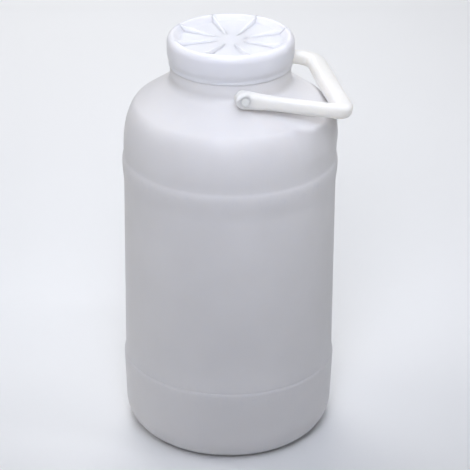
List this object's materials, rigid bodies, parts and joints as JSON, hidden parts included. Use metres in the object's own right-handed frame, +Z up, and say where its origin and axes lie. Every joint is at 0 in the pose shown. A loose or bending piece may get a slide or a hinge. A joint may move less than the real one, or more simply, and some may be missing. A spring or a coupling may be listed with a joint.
{
  "type": "wide-mouth plastic drum",
  "caption": "Round white plastic drum with a domed shoulder, ribbed wide screw cap and a bail handle that swings on the neck, for food and drink.",
  "frame": {"origin": "centre of the flat base, on the drum's axis", "axes": "+Z up the drum's axis, +Y along the handle's pins, +X the way the folded handle points"},
  "size_m": [0.2092, 0.2086, 0.4124],
  "materials": {
    "drum_polyethylene": "satin, natural white polyethylene, slightly translucent",
    "cap_polyethylene": "satin, cool white polyethylene",
    "handle_polyethylene": "satin, warm white polyethylene"
  },
  "bodies": {
    "container": {"drum": "drum_polyethylene", "cap": "cap_polyethylene"},
    "bail": {"handle": "handle_polyethylene"}
  },
  "joints": [
    {"name": "handle_swing", "type": "hinge", "parent": "container", "child": "bail", "pos_m": [0, 0, 0.3727], "axis": [0, -1, 0], "range_deg": [0, 204]}
  ]
}
